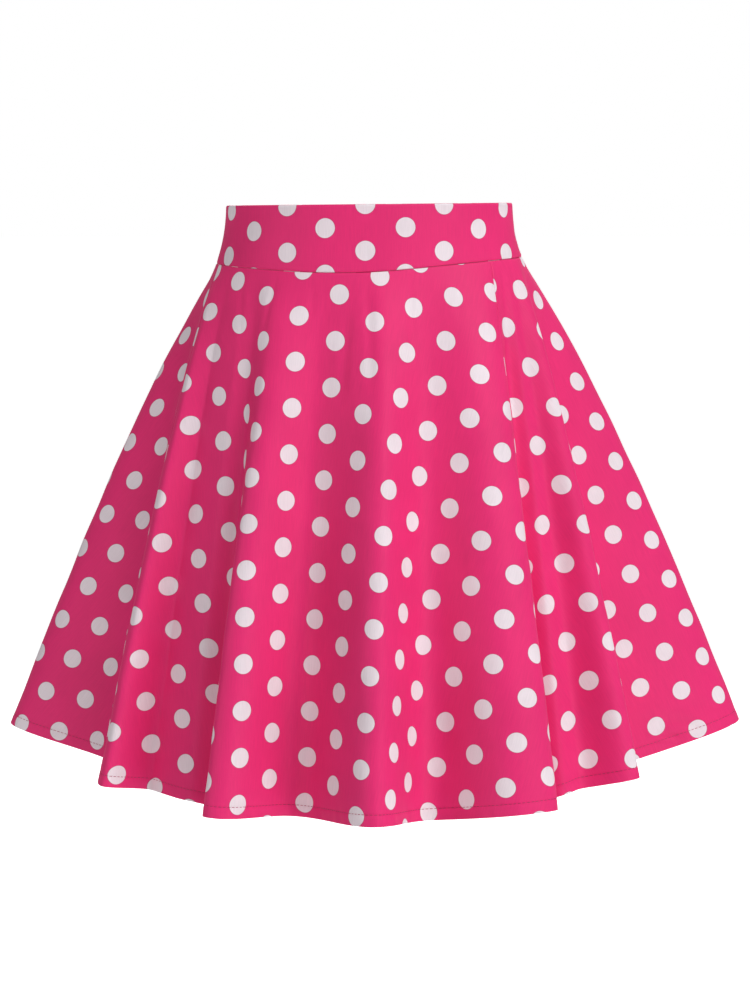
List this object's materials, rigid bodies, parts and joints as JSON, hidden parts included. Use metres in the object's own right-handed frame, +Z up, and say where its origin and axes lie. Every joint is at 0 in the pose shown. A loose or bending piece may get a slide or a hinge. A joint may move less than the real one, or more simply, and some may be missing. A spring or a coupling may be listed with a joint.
{
  "type": "worn a-line skirt without wearer",
  "caption": "Above-the-knee flared A-line skirt with soft folds, a high shaped waistband and a concealed centre-back zip, standing open and filled out as when worn.",
  "frame": {"origin": "middle of the waist, level with the waistband's top edge, where the skirt is held on the body", "axes": "+Z up, -Y to the front of the skirt, +X to the right as seen from the front, which is the wearer's left"},
  "size_m": [0.6214, 0.5558, 0.4865],
  "materials": {
    "skirt_cloth": "plain woven cotton with a faint sheen, white dots on a pink ground",
    "band_cloth": "plain woven cotton over a stiffener, white dots on a pink ground",
    "zip_tape_cloth": "plain woven tape, matt",
    "zip_lacquer": "lacquered to match the cloth, half gloss"
  },
  "bodies": {
    "skirt": {"waistband_front": "band_cloth", "waistband_back_right": "band_cloth", "waistband_back_left": "band_cloth", "skirt_front": "skirt_cloth", "skirt_back_right": "skirt_cloth", "skirt_back_left": "skirt_cloth", "zip_tape": "zip_tape_cloth", "zip_slider": "zip_lacquer"},
    "pull_tab": {"zip_pull_tab": "zip_lacquer"}
  },
  "joints": [
    {"name": "pull_tab_swing", "type": "hinge", "parent": "skirt", "child": "pull_tab", "pos_m": [0, 0.08819, -0.00498], "axis": [1, 0, 0], "range_deg": [-3, 100]}
  ]
}
